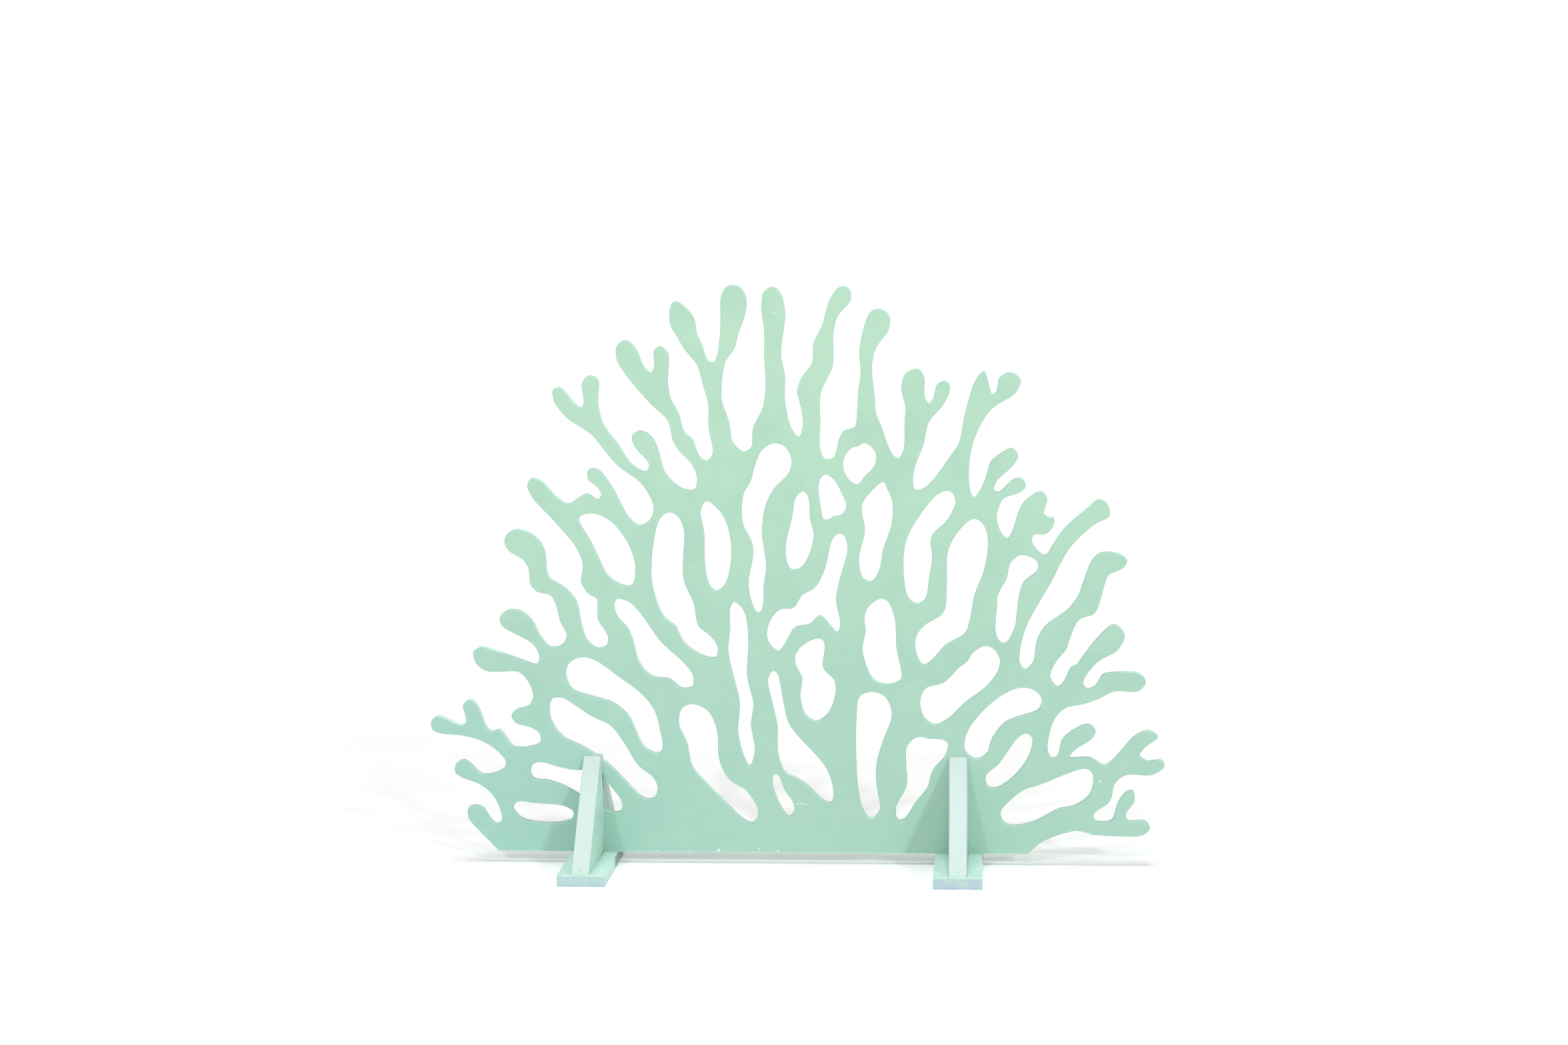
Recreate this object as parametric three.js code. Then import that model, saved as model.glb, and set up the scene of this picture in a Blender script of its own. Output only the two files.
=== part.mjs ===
// Sea fan cut-out panel: a flat board sawn in the outline of a branching sea fan, standing on two
// timber feet. Each foot is a base plate with a triangular gusset in front of the board and another
// behind it. The board drops into the slot between the gussets and rests on the plates.
// Millimetres, +Z up, +X along the board, front of the board towards -Y. The origin is on the
// floor, under the middle of the whole object.
import * as THREE from 'three';

// Driving dimensions
const BOARD_THICKNESS = 18;
const SLOT_CLEARANCE = 0.5; // on each side of the board
const FOOT_CENTRES = { left: -423, right: 341 };
const PLATE_WIDTH = 98;
const PLATE_THICKNESS = 24;
const FOOT_REACH = 179; // from a face of the board to the end of the plate
const GUSSET_THICKNESS = 2 * BOARD_THICKNESS;
const GUSSET_HEIGHT = 207;
const TOE_HEIGHT = 6; // blunt end of a gusset, flush with the end of the plate

// The board's drawing: x along the board, z up from its straight lower edge
const LOWER_EDGE = { left: -628, right: 483 };
const CHORD_ERROR = 0.8; // how far a straight facet may stand off the true curve

// Points on the outer rim, from the lower left corner over the top to the lower right corner.
// A smooth curve passes through all of them.
const RIM_POINTS = [
  // lower left corner and the finger beside it
  [-673, 48], [-691, 71], [-691, 92], [-678, 97], [-661, 91], [-648, 71], [-633, 57], [-621, 66],
  [-621, 84], [-637, 120], [-665, 144],
  // second finger on the left
  [-699, 157], [-716, 169], [-713, 189], [-698, 195], [-682, 184], [-664, 166], [-642, 165],
  [-614, 177], [-607, 192], [-626, 217], [-662, 239], [-702, 249],
  // forked finger at the far left
  [-744, 253], [-762, 262], [-763, 280], [-749, 290], [-727, 281], [-700, 270], [-690, 276],
  [-691, 294], [-695, 312], [-683, 325], [-669, 317], [-657, 291], [-647, 264], [-635, 257],
  [-620, 260], [-606, 243], [-598, 231], [-588, 223], [-556, 224], [-533, 234], [-534, 254],
  [-554, 267], [-582, 275], [-592, 290], [-584, 303], [-558, 311], [-545, 332], [-554, 363],
  [-574, 384], [-606, 385],
  // third finger on the left
  [-644, 387], [-665, 405], [-668, 428], [-652, 437], [-617, 427], [-562, 407], [-537, 400],
  [-529, 415], [-541, 442], [-584, 468],
  // fourth finger on the left
  [-606, 482], [-610, 500], [-595, 515], [-568, 513], [-545, 495], [-525, 456], [-505, 437],
  [-483, 441], [-470, 461], [-483, 492], [-491, 528], [-503, 547], [-528, 553],
  // hooked finger on the left
  [-543, 569], [-546, 603], [-558, 622], [-585, 639], [-595, 659], [-586, 679], [-564, 685],
  [-532, 669], [-512, 639], [-510, 604], [-505, 584], [-476, 564], [-450, 536], [-440, 489],
  [-428, 450], [-405, 434], [-386, 442], [-384, 462], [-400, 488], [-404, 500], [-405, 539],
  [-420, 548], [-436, 573], [-432, 611], [-444, 645], [-494, 707],
  // long finger above the hook
  [-531, 748], [-543, 776], [-534, 792], [-512, 783], [-485, 753], [-460, 738], [-435, 752],
  [-420, 758], [-399, 746], [-389, 756], [-398, 773],
  // short finger inside it
  [-416, 789], [-414, 809], [-395, 807], [-361, 760], [-338, 714], [-314, 692], [-290, 703],
  [-281, 728], [-302, 775], [-355, 818],
  // forked finger, upper left
  [-384, 853], [-407, 882], [-453, 913], [-481, 949], [-483, 975], [-468, 978], [-442, 947],
  [-426, 937], [-420, 951], [-423, 986], [-408, 1003], [-390, 994], [-392, 951], [-384, 908],
  [-350, 857], [-327, 821], [-297, 803], [-288, 818], [-318, 857],
  // short finger beside it
  [-321, 879], [-306, 888], [-281, 873], [-267, 840], [-256, 801], [-222, 768], [-196, 766],
  [-189, 790], [-202, 821], [-222, 842], [-237, 866], [-247, 908], [-277, 938], [-324, 993],
  // broad fork, upper left
  [-349, 1034], [-348, 1063], [-331, 1074], [-313, 1061], [-295, 1021], [-279, 1007],
  [-272, 1023], [-272, 1052], [-259, 1061], [-244, 1045], [-246, 988], [-241, 953], [-225, 922],
  [-214, 884], [-198, 869], [-184, 833], [-169, 825], [-156, 840], [-163, 893], [-163, 943],
  [-173, 981], [-184, 1022], [-196, 1037], [-212, 1058], [-225, 1082],
  // tall fork at the top
  [-237, 1103], [-236, 1141], [-227, 1152], [-210, 1143], [-189, 1117], [-184, 1087],
  [-173, 1061], [-163, 1032], [-150, 1027], [-141, 1046], [-134, 1110], [-131, 1162],
  [-116, 1182], [-94, 1179], [-81, 1157], [-85, 1119], [-99, 1082], [-108, 1053], [-125, 1029],
  [-135, 981], [-135, 945], [-121, 901], [-115, 863], [-92, 843], [-76, 853], [-72, 890],
  [-51, 933], [-44, 986],
  // straight finger at the top
  [-46, 1036], [-45, 1086], [-50, 1133], [-44, 1168], [-27, 1178], [-12, 1167], [-2, 1121],
  [-8, 1078], [-12, 1036], [-5, 996], [-6, 951], [6, 891], [22, 872], [31, 901], [24, 946],
  [20, 968], [33, 999], [51, 1022], [55, 1062], [74, 1101], [89, 1151],
  // leaning finger at the top
  [110, 1176], [128, 1173], [132, 1150], [104, 1114], [95, 1076], [93, 1016], [68, 960],
  [66, 896], [64, 851], [73, 827], [92, 829], [103, 864], [114, 884], [136, 891], [142, 926],
  [145, 969], [150, 1001], [148, 1046], [162, 1107],
  // club finger, upper right
  [173, 1126], [190, 1131], [209, 1117], [208, 1087], [182, 1051], [173, 1011], [178, 951],
  [180, 920], [191, 891], [211, 837], [224, 826], [235, 844], [238, 901], [240, 931], [232, 969],
  // first fork on the right
  [241, 999], [266, 1008], [279, 990], [279, 954], [288, 938], [296, 948], [305, 976], [321, 983],
  [331, 971], [317, 934], [288, 900], [277, 856], [255, 793], [258, 761], [276, 764], [307, 797],
  [328, 827], [348, 857], [358, 906], [373, 961],
  // second fork on the right
  [384, 987], [400, 1002], [408, 981], [416, 955], [425, 963], [430, 987], [452, 999], [473, 984],
  [463, 957], [414, 924], [382, 871], [369, 816], [370, 759], [378, 745], [396, 771], [406, 801],
  // two short fingers below it
  [412, 818], [437, 837], [454, 845], [468, 829], [452, 804], [424, 778], [419, 758], [429, 756],
  [455, 779], [472, 784], [483, 769], [470, 754], [437, 741], [424, 704], [434, 669], [445, 660],
  [456, 678], [474, 728], [500, 752],
  // stub with a nub
  [516, 756], [526, 740], [519, 713], [525, 704], [539, 702], [536, 681], [520, 668], [499, 668],
  [495, 654], [511, 630], [523, 625], [533, 639], [551, 669], [582, 701], [608, 722],
  // long finger on the right
  [630, 739], [647, 730], [651, 705], [623, 689], [576, 646], [552, 607], [534, 571], [513, 535],
  [485, 484], [473, 446], [469, 403], [480, 388], [496, 404], [503, 446], [521, 478], [566, 512],
  [588, 541], [599, 571], [613, 608],
  // hooked finger on the right
  [631, 628], [666, 629], [687, 614], [677, 597], [650, 584], [636, 544], [621, 505], [590, 492],
  [570, 450], [564, 431], [547, 411], [531, 374], [547, 352], [562, 369], [573, 392], [584, 397],
  [593, 409], [627, 454],
  // rising finger on the right
  [662, 481], [682, 460], [669, 430], [626, 403], [598, 361], [606, 348], [622, 353], [638, 377],
  [666, 382],
  // level finger on the right
  [711, 380], [725, 364], [711, 344], [661, 343], [628, 327], [596, 316], [563, 309], [539, 284],
  [525, 221], [533, 203], [545, 206], [555, 241], [581, 263],
  // leaf finger, lower right
  [609, 273], [623, 261], [614, 243], [580, 220], [570, 204], [612, 203], [642, 188], [661, 202],
  [706, 251],
  // forked finger at the far right
  [733, 261], [750, 248], [728, 230], [713, 210], [728, 196], [758, 199], [763, 187], [739, 169],
  [685, 168], [663, 151], [652, 113], [620, 86], [622, 71], [655, 71], [668, 106], [686, 131],
  // upright and level fingers beside the floor, and the lower right corner
  [700, 133], [702, 113], [685, 86], [689, 71], [724, 70], [734, 57], [720, 42], [646, 40],
  [618, 42], [586, 50], [536, 37], [511, 25],
];

// Points around each closed hole
const HOLES = {
  lowLeftOval: [
    [-596, 92], [-586, 106], [-549, 104], [-484, 97], [-467, 85], [-471, 70], [-499, 61],
    [-550, 62], [-582, 72],
  ],
  behindLeftFoot: [
    [-557, 173], [-550, 187], [-531, 192], [-499, 183], [-464, 176], [-424, 175], [-403, 166],
    [-388, 144], [-370, 120], [-362, 100], [-370, 85], [-404, 90], [-449, 118], [-489, 141],
    [-524, 152], [-547, 154], [-554, 160],
  ],
  lowerLeftSlant: [
    [-512, 306], [-505, 327], [-482, 329], [-456, 313], [-422, 290], [-383, 270], [-351, 227],
    [-328, 187], [-294, 158], [-287, 134], [-298, 114], [-319, 115], [-350, 145], [-386, 183],
    [-436, 220], [-484, 245], [-507, 275],
  ],
  leftHook: [
    [-475, 376], [-468, 401], [-442, 415], [-412, 409], [-364, 375], [-314, 336], [-288, 299],
    [-278, 256], [-274, 226], [-284, 211], [-312, 222], [-327, 249], [-344, 288], [-374, 316],
    [-422, 332], [-462, 347],
  ],
  leftSlant: [
    [-369, 521], [-364, 537], [-339, 533], [-308, 500], [-274, 450], [-230, 408], [-207, 376],
    [-210, 353], [-231, 349], [-256, 368], [-294, 375], [-319, 403], [-332, 450], [-344, 478],
    [-362, 498],
  ],
  upperLeftOval: [
    [-439, 705], [-430, 714], [-402, 716], [-368, 698], [-336, 654], [-322, 606], [-331, 567],
    [-354, 568], [-382, 588], [-389, 600], [-414, 656],
  ],
  leftSnake: [
    [-250, 718], [-269, 704], [-284, 653], [-290, 593], [-289, 573], [-278, 526], [-262, 496],
    [-242, 481], [-226, 448], [-192, 421], [-160, 414], [-154, 436], [-171, 462], [-193, 481],
    [-202, 528], [-222, 579], [-222, 624], [-219, 681], [-232, 711],
  ],
  upperLeftBean: [
    [-171, 741], [-184, 721], [-178, 676], [-178, 616], [-169, 567], [-155, 554], [-137, 568],
    [-123, 616], [-125, 676], [-142, 718],
  ],
  centreSnake: [
    [-30, 859], [-56, 843], [-71, 809], [-81, 777], [-94, 756], [-99, 706], [-93, 682],
    [-79, 654], [-78, 622], [-88, 566], [-78, 519], [-68, 508], [-59, 521], [-56, 566],
    [-50, 606], [-57, 666], [-51, 726], [-32, 765], [0, 799], [6, 826], [-7, 852],
  ],
  topPebble: [
    [158, 858], [149, 856], [143, 851], [134, 850], [119, 837], [111, 811], [123, 782],
    [140, 773], [154, 788], [175, 811], [178, 838],
  ],
  centreBean: [
    [30, 760], [13, 746], [6, 711], [-7, 659], [-9, 621], [1, 598], [21, 602], [38, 628],
    [49, 671], [42, 704], [40, 746],
  ],
  topBoot: [
    [75, 794], [62, 779], [64, 726], [70, 701], [80, 701], [90, 707], [104, 709], [117, 728],
    [109, 753], [91, 785],
  ],
  upperWaist: [
    [194, 778], [172, 762], [149, 729], [154, 676], [141, 616], [150, 578], [167, 573],
    [184, 601], [191, 639], [209, 691], [211, 738], [200, 766],
  ],
  rightHook: [
    [324, 759], [302, 750], [261, 699], [238, 653], [233, 581], [244, 535], [260, 526],
    [276, 536], [284, 576], [291, 621], [290, 664], [321, 696], [339, 731], [336, 751],
  ],
  rightSnake: [
    [379, 701], [356, 687], [325, 638], [321, 566], [314, 508], [276, 482], [257, 456],
    [258, 419], [271, 398], [289, 408], [318, 440], [356, 463], [368, 496], [377, 543],
    [394, 586], [405, 644], [399, 684],
  ],
  farRightBean: [
    [474, 626], [452, 611], [443, 578], [425, 543], [424, 525], [420, 471], [428, 447],
    [440, 444], [458, 474], [466, 531], [476, 567], [505, 594], [504, 613],
  ],
  centreBranch: [
    [101, 672], [87, 659], [72, 601], [51, 561], [24, 545], [6, 519], [-24, 514], [-47, 484],
    [-50, 449], [-29, 427], [-13, 446], [6, 476], [37, 483], [58, 501], [76, 487], [94, 466],
    [101, 486], [93, 536], [105, 591], [118, 638], [113, 666],
  ],
  narrowSlot: [
    [-118, 531], [-128, 511], [-128, 473], [-133, 428], [-123, 374], [-111, 316], [-116, 261],
    [-109, 218], [-93, 184], [-81, 218], [-88, 274], [-82, 316], [-94, 374], [-90, 451],
    [-98, 512],
  ],
  rightSlant: [
    [398, 438], [372, 422], [362, 406], [344, 392], [314, 362], [276, 349], [264, 321],
    [272, 287], [294, 272], [324, 287], [358, 320], [391, 344], [421, 379], [428, 408],
    [416, 431],
  ],
  rightCurve: [
    [472, 351], [441, 340], [392, 301], [358, 251], [357, 215], [379, 200], [400, 212],
    [410, 241], [438, 277], [472, 291], [506, 304], [513, 326], [499, 345],
  ],
  lowerRightBean: [
    [480, 255], [461, 242], [424, 190], [399, 167], [401, 144], [416, 138], [456, 164],
    [489, 213], [493, 246],
  ],
  lowerRightCloud: [
    [598, 181], [561, 169], [540, 160], [519, 151], [499, 144], [480, 138], [446, 112], [428, 88],
    [436, 65], [461, 59], [506, 72], [546, 94], [577, 101], [609, 123], [619, 161], [611, 178],
  ],
  midWaist: [
    [188, 537], [161, 521], [151, 494], [153, 466], [146, 431], [162, 376], [176, 362],
    [204, 358], [224, 367], [225, 388], [216, 436], [214, 491], [201, 529],
  ],
  peanut: [
    [54, 454], [21, 438], [6, 414], [10, 391], [20, 371], [16, 331], [26, 293], [47, 280],
    [70, 293], [87, 331], [88, 364], [64, 394], [68, 431], [66, 449],
  ],
  lowerClub: [
    [163, 342], [139, 331], [132, 286], [130, 206], [137, 111], [152, 78], [164, 74], [178, 94],
    [172, 141], [172, 191], [189, 246], [205, 294], [192, 331],
  ],
  besideRightFoot: [
    [258, 247], [237, 229], [233, 191], [234, 144], [212, 99], [214, 71], [226, 70], [254, 110],
    [277, 139], [288, 175], [313, 204], [320, 233], [311, 241], [281, 244],
  ],
  lowerBlade: [
    [-40, 386], [-51, 366], [-42, 314], [-33, 266], [-33, 211], [-18, 170], [6, 158], [26, 144],
    [56, 115], [75, 106], [82, 126], [68, 180], [16, 242], [-8, 274], [-21, 331], [-31, 381],
  ],
  lowerSlip: [
    [-39, 168], [-46, 152], [-33, 106], [-12, 76], [0, 92], [-7, 116], [-15, 126], [-21, 137],
    [-31, 163],
  ],
  lowerLeftSnake: [
    [-213, 316], [-234, 303], [-239, 269], [-223, 231], [-215, 186], [-195, 158], [-159, 120],
    [-134, 94], [-106, 68], [-89, 62], [-76, 86], [-99, 131], [-135, 156], [-155, 196],
    [-160, 264], [-179, 303],
  ],
};

const PAINTS = {
  board: { color: 0xb1e0c9, roughness: 0.5 },
  plate: { color: 0xb8e3d0, roughness: 0.55 },
  gusset: { color: 0xcdebdf, roughness: 0.55 },
};

// Adds the first corner of every straight facet of a curve between two parameters
function addFacets(curve, from, to, corners) {
  const start = curve.getPoint(from);
  const chord = new THREE.Line3(start, curve.getPoint(to));
  const bows = [0.25, 0.5, 0.75].map((share) => {
    const point = curve.getPoint(from + share * (to - from));
    return chord.closestPointToPoint(point, true, new THREE.Vector3()).distanceTo(point);
  });
  if (Math.max(...bows) <= CHORD_ERROR) {
    corners.push(new THREE.Vector2(start.x, start.y));
    return;
  }
  const middle = (from + to) / 2;
  addFacets(curve, from, middle, corners);
  addFacets(curve, middle, to, corners);
}

// The corners of a smooth line through the points, faceted finely only where it bends
function sawnLine(points, closed) {
  const stations = points.map(([x, z]) => new THREE.Vector3(x, z, 0));
  const curve = new THREE.CatmullRomCurve3(stations, closed, 'centripetal');
  const spans = closed ? points.length : points.length - 1;
  const corners = [];
  for (let span = 0; span < spans; span += 1) {
    addFacets(curve, span / spans, (span + 1) / spans, corners);
  }
  return corners;
}

// A hole runs anticlockwise, against the clockwise rim, so that its walls face into the opening
function sawnHole(points) {
  const corners = sawnLine(points, true);
  return new THREE.Path(THREE.ShapeUtils.isClockWise(corners) ? corners.reverse() : corners);
}

function coralBoard() {
  const lowerRight = [LOWER_EDGE.right, 0];
  const rim = [[LOWER_EDGE.left, 0], ...RIM_POINTS, lowerRight];
  const shape = new THREE.Shape([...sawnLine(rim, false), new THREE.Vector2(...lowerRight)]);
  shape.holes = Object.values(HOLES).map(sawnHole);
  const geometry = new THREE.ExtrudeGeometry(shape, { depth: BOARD_THICKNESS, bevelEnabled: false });
  geometry.rotateX(Math.PI / 2);
  geometry.translate(0, BOARD_THICKNESS / 2, PLATE_THICKNESS);
  return piece('coral_board', geometry, PAINTS.board);
}

function footPlate(name) {
  const length = 2 * FOOT_REACH + BOARD_THICKNESS;
  const geometry = new THREE.BoxGeometry(PLATE_WIDTH, length, PLATE_THICKNESS);
  geometry.translate(0, 0, PLATE_THICKNESS / 2);
  return piece(name, geometry, PAINTS.plate);
}

// A triangular gusset reaching towards +Y, its upright side against the slot
function gusset(name) {
  const reach = FOOT_REACH - SLOT_CLEARANCE;
  const profile = new THREE.Shape();
  profile.moveTo(0, 0);
  profile.lineTo(reach, 0);
  profile.lineTo(reach, TOE_HEIGHT);
  profile.lineTo(0, GUSSET_HEIGHT);
  const geometry = new THREE.ExtrudeGeometry(profile, { depth: GUSSET_THICKNESS, bevelEnabled: false });
  geometry.rotateX(Math.PI / 2);
  geometry.rotateZ(Math.PI / 2);
  const slotSide = BOARD_THICKNESS / 2 + SLOT_CLEARANCE;
  geometry.translate(-GUSSET_THICKNESS / 2, slotSide, PLATE_THICKNESS);
  return piece(name, geometry, PAINTS.gusset);
}

function foot(side, centre) {
  const group = new THREE.Group();
  const frontGusset = gusset(`front_gusset_${side}`);
  frontGusset.rotation.z = Math.PI;
  group.add(footPlate(`foot_plate_${side}`), frontGusset, gusset(`rear_gusset_${side}`));
  group.position.x = centre;
  return group;
}

function piece(name, geometry, paint) {
  const mesh = new THREE.Mesh(geometry, new THREE.MeshStandardMaterial({ ...paint, metalness: 0 }));
  mesh.name = name;
  return mesh;
}

const seaFan = new THREE.Group();
seaFan.add(coralBoard());
Object.entries(FOOT_CENTRES).forEach(([side, centre]) => seaFan.add(foot(side, centre)));

// Bring the middle of the whole width over the origin
const extent = new THREE.Box3().setFromObject(seaFan);
seaFan.position.x = -(extent.min.x + extent.max.x) / 2;

export default seaFan;
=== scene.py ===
"""Sea fan cut-out panel: finishes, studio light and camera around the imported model.

A flat board, sawn in the outline of a branching sea fan, stands on two slotted feet. Each foot is
a base plate with a triangular brace in front of the board and another behind it. All of it is
painted pale mint. Lengths are in metres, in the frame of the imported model: the origin is on the
floor under the middle, +X runs along the board, +Z is up and the front faces -Y.
"""

import logging
import math
from dataclasses import dataclass, field
from enum import Enum
from typing import Callable

import bmesh
import bpy
import numpy as np
from mathutils import Matrix, Vector, noise


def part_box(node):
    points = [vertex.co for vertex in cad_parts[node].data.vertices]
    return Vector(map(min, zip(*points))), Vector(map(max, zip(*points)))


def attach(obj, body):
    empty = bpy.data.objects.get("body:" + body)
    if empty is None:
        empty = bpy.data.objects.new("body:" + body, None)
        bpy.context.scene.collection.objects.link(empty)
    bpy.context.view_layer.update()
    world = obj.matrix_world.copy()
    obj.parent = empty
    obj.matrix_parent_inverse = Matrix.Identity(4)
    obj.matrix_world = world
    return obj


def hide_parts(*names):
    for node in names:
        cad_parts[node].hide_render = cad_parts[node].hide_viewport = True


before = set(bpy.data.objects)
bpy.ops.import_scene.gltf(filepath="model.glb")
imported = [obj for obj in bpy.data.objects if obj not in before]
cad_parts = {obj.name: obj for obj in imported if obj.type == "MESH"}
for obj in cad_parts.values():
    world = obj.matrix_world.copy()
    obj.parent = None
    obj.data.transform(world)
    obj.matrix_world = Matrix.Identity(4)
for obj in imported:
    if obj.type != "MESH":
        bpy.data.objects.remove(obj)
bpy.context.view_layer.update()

MM = 0.001
TOUCHING = 0.01 * MM  # a corner this near to a plane counts as lying in it
SAME_PLACE = 0.001 * MM  # corners nearer to each other than this are one
PAINT_IOR = 1.5  # index of refraction of a dry paint film
LIGHT_DISTANCE = 3  # how far off the lamps stand, though their light is the same at any distance
BODY = "root"

log = logging.getLogger("sea_fan_panel")

Socket = bpy.types.NodeSocket
Colour = tuple[float, float, float, float]
Loop = np.ndarray  # an N by 2 array of x and z, in order round an outline


class Side(Enum):
    """Which of the two feet, seen from the front."""

    LEFT = "left"
    RIGHT = "right"


class Face(Enum):
    """Which face of the board a brace stands against. The value is the way it reaches along Y."""

    FRONT = -1
    REAR = 1


class Slot(Enum):
    """The record's material slots."""

    BOARD = "board_paint"
    PLATE = "plate_paint"
    BRACE = "gusset_paint"


def linear(hex_code: str) -> Colour:
    """Turns an sRGB hex colour to linear.

    Args:
        hex_code: six hex digits, such as "b1e0c9".

    Returns:
        Linear red, green, blue and an alpha of 1.
    """
    channels = (int(hex_code[i : i + 2], 16) / 255 for i in (0, 2, 4))
    red, green, blue = (((c + 0.055) / 1.055) ** 2.4 if c > 0.04045 else c / 12.92 for c in channels)
    return (red, green, blue, 1.0)


def add(
    tree: bpy.types.NodeTree,
    kind: str,
    inputs: dict[str | int, object],
    output: str = "",
    **settings: object,
) -> Socket | None:
    """Adds one shader node with its settings and links.

    Args:
        tree: the node tree that it goes in.
        kind: the node's type, without the ShaderNode prefix.
        inputs: a value for each input by its name or number, or an output that is linked to it.
        output: the name of the wanted output, or nothing for the first.
        settings: the node's own properties.

    Returns:
        The wanted output, or None where the node has no outputs.
    """
    made = tree.nodes.new("ShaderNode" + kind)
    for name, value in settings.items():
        setattr(made, name, value)
    for key, value in inputs.items():
        in_use = {one.name: one for one in reversed(made.inputs) if one.enabled}
        socket = made.inputs[key] if isinstance(key, int) else in_use[key]
        if isinstance(value, Socket):
            tree.links.new(value, socket)
        else:
            socket.default_value = value
    wanted = [one for one in made.outputs if one.enabled and output in ("", one.name)]
    return wanted[0] if wanted else None


# ---------------------------------------------------------------- finishes


@dataclass(frozen=True)
class Speck:
    """A round blemish in the paint of the board's front.

    Attributes:
        x: place along the board.
        z: height above the floor.
        radius: its radius.
        strength: how much it hides the paint.
    """

    x: float
    z: float
    radius: float
    strength: float = 0.45


@dataclass(frozen=True)
class Scratch:
    """A shallow scratch that bows up in an arc on the board's front.

    Attributes:
        x: place of the arc's centre along the board.
        z: height of the arc's centre above the floor.
        radius: the arc's radius.
        half_width: how far the scratch reaches to each side of its line.
        spread: how far the arc runs to the left and right of its centre.
        strength: how much it hides the paint.
    """

    x: float
    z: float
    radius: float
    half_width: float
    spread: float
    strength: float = 0.5


@dataclass(frozen=True)
class Scatter:
    """Soft ragged patches, scattered over a surface.

    Attributes:
        size: how big a patch is, in metres.
        start: how strong the scatter has to be for a patch to start, from 0 to 1.
        full: how strong it has to be for a patch to be solid.
        cover: how much a coat on the patches hides what is below it, from 0 to 1.
        detail: how many finer layers break up the patches.
        stretch: how much longer they are along X, Y and Z.
    """

    size: float
    start: float
    full: float
    cover: float = 1.0
    detail: float = 3.0
    stretch: tuple[float, float, float] = (1, 1, 1)


@dataclass(frozen=True)
class Band:
    """A part of the surface with a soft border, told from the rest by some value.

    Attributes:
        value: what tells the part, such as a height.
        start: where the border and the part start.
        full: where the border ends. It may be on either side of start.
    """

    value: Socket
    start: float
    full: float


class PaintShop:
    """Puts one painted surface together, coat by coat and mark by mark."""

    def __init__(self, name: str, base: str) -> None:
        """Starts a material.

        Args:
            name: what the finish is called.
            base: hex colour of the first coat.
        """
        self.material = bpy.data.materials.new(name)
        self.material.use_nodes = True
        self.tree = self.material.node_tree
        self.tree.nodes.clear()
        self.colour: object = linear(base)
        self.place = add(self.tree, "TexCoord", {}, "Object")
        self.axis = {way: add(self.tree, "SeparateXYZ", {"Vector": self.place}, way) for way in "XYZ"}
        normal = add(self.tree, "NewGeometry", {}, "Normal")
        self.facing = {way: add(self.tree, "SeparateXYZ", {"Vector": normal}, way) for way in "XYZ"}

    @property
    def front(self) -> Band:
        """The faces that look to the front."""
        return Band(self.facing["Y"], -0.5, -0.9)

    def where(self, *masks: Band | Socket) -> Socket:
        """Finds the part of the surface that lies in every one of the masks.

        Args:
            masks: bands of the surface, or values that are already from 0 to 1.

        Returns:
            A value from 0 outside the part to 1 inside it.
        """
        joined = None
        for mask in masks:
            if isinstance(mask, Band):
                limits = {"Value": mask.value, "From Min": mask.start, "From Max": mask.full}
                mask = add(self.tree, "MapRange", limits, interpolation_type="SMOOTHSTEP")
            if joined is None:
                joined = mask
            else:
                joined = add(self.tree, "Math", {0: joined, 1: mask}, operation="MULTIPLY")
        return joined

    def patches(self, scatter: Scatter) -> Socket:
        """Scatters soft ragged patches over the surface.

        Args:
            scatter: what the patches are like.

        Returns:
            A value from 0 off the patches to 1 on them.
        """
        scale = [1 / (scatter.size * longer) for longer in scatter.stretch]
        drawn = add(self.tree, "Mapping", {"Vector": self.place, "Scale": scale})
        grain = {"Vector": drawn, "Scale": 1.0, "Detail": scatter.detail}
        return self.where(Band(add(self.tree, "TexNoise", grain, "Fac"), scatter.start, scatter.full))

    def coat(self, colour: str, strength: float, *masks: Band | Socket) -> None:
        """Paints a colour over what is there.

        Args:
            colour: its hex colour.
            strength: how much of it covers what is below, from 0 to 1.
            masks: where it goes, which is where all of them show.
        """
        share = add(self.tree, "Math", {0: self.where(*masks), 1: strength}, operation="MULTIPLY")
        inputs = {"Factor": share, "A": self.colour, "B": linear(colour)}
        self.colour = add(self.tree, "Mix", inputs, data_type="RGBA")

    def cure(
        self,
        sheen: tuple[float, float],
        wear: Socket,
        relief: Socket,
        depth: float,
        ior: float = PAINT_IOR,
    ) -> bpy.types.Material:
        """Lets the paint set, and gives it its sheen and relief.

        Args:
            sheen: roughness where it is least worn and where it is most worn.
            wear: how worn it is, from 0 to 1.
            relief: its height, from 0 to 1.
            depth: how high the relief stands, in metres.
            ior: the paint film's index of refraction.

        Returns:
            The finished material.
        """
        roughness = add(self.tree, "MapRange", {"Value": wear, "To Min": sheen[0], "To Max": sheen[1]})
        bump = add(self.tree, "Bump", {"Height": relief, "Distance": depth, "Strength": 1.0})
        look = {"Base Color": self.colour, "Roughness": roughness, "Normal": bump}
        film = add(self.tree, "BsdfPrincipled", {**look, "IOR": ior, "Metallic": 0.0})
        add(self.tree, "OutputMaterial", {"Surface": film})
        return self.material


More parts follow.
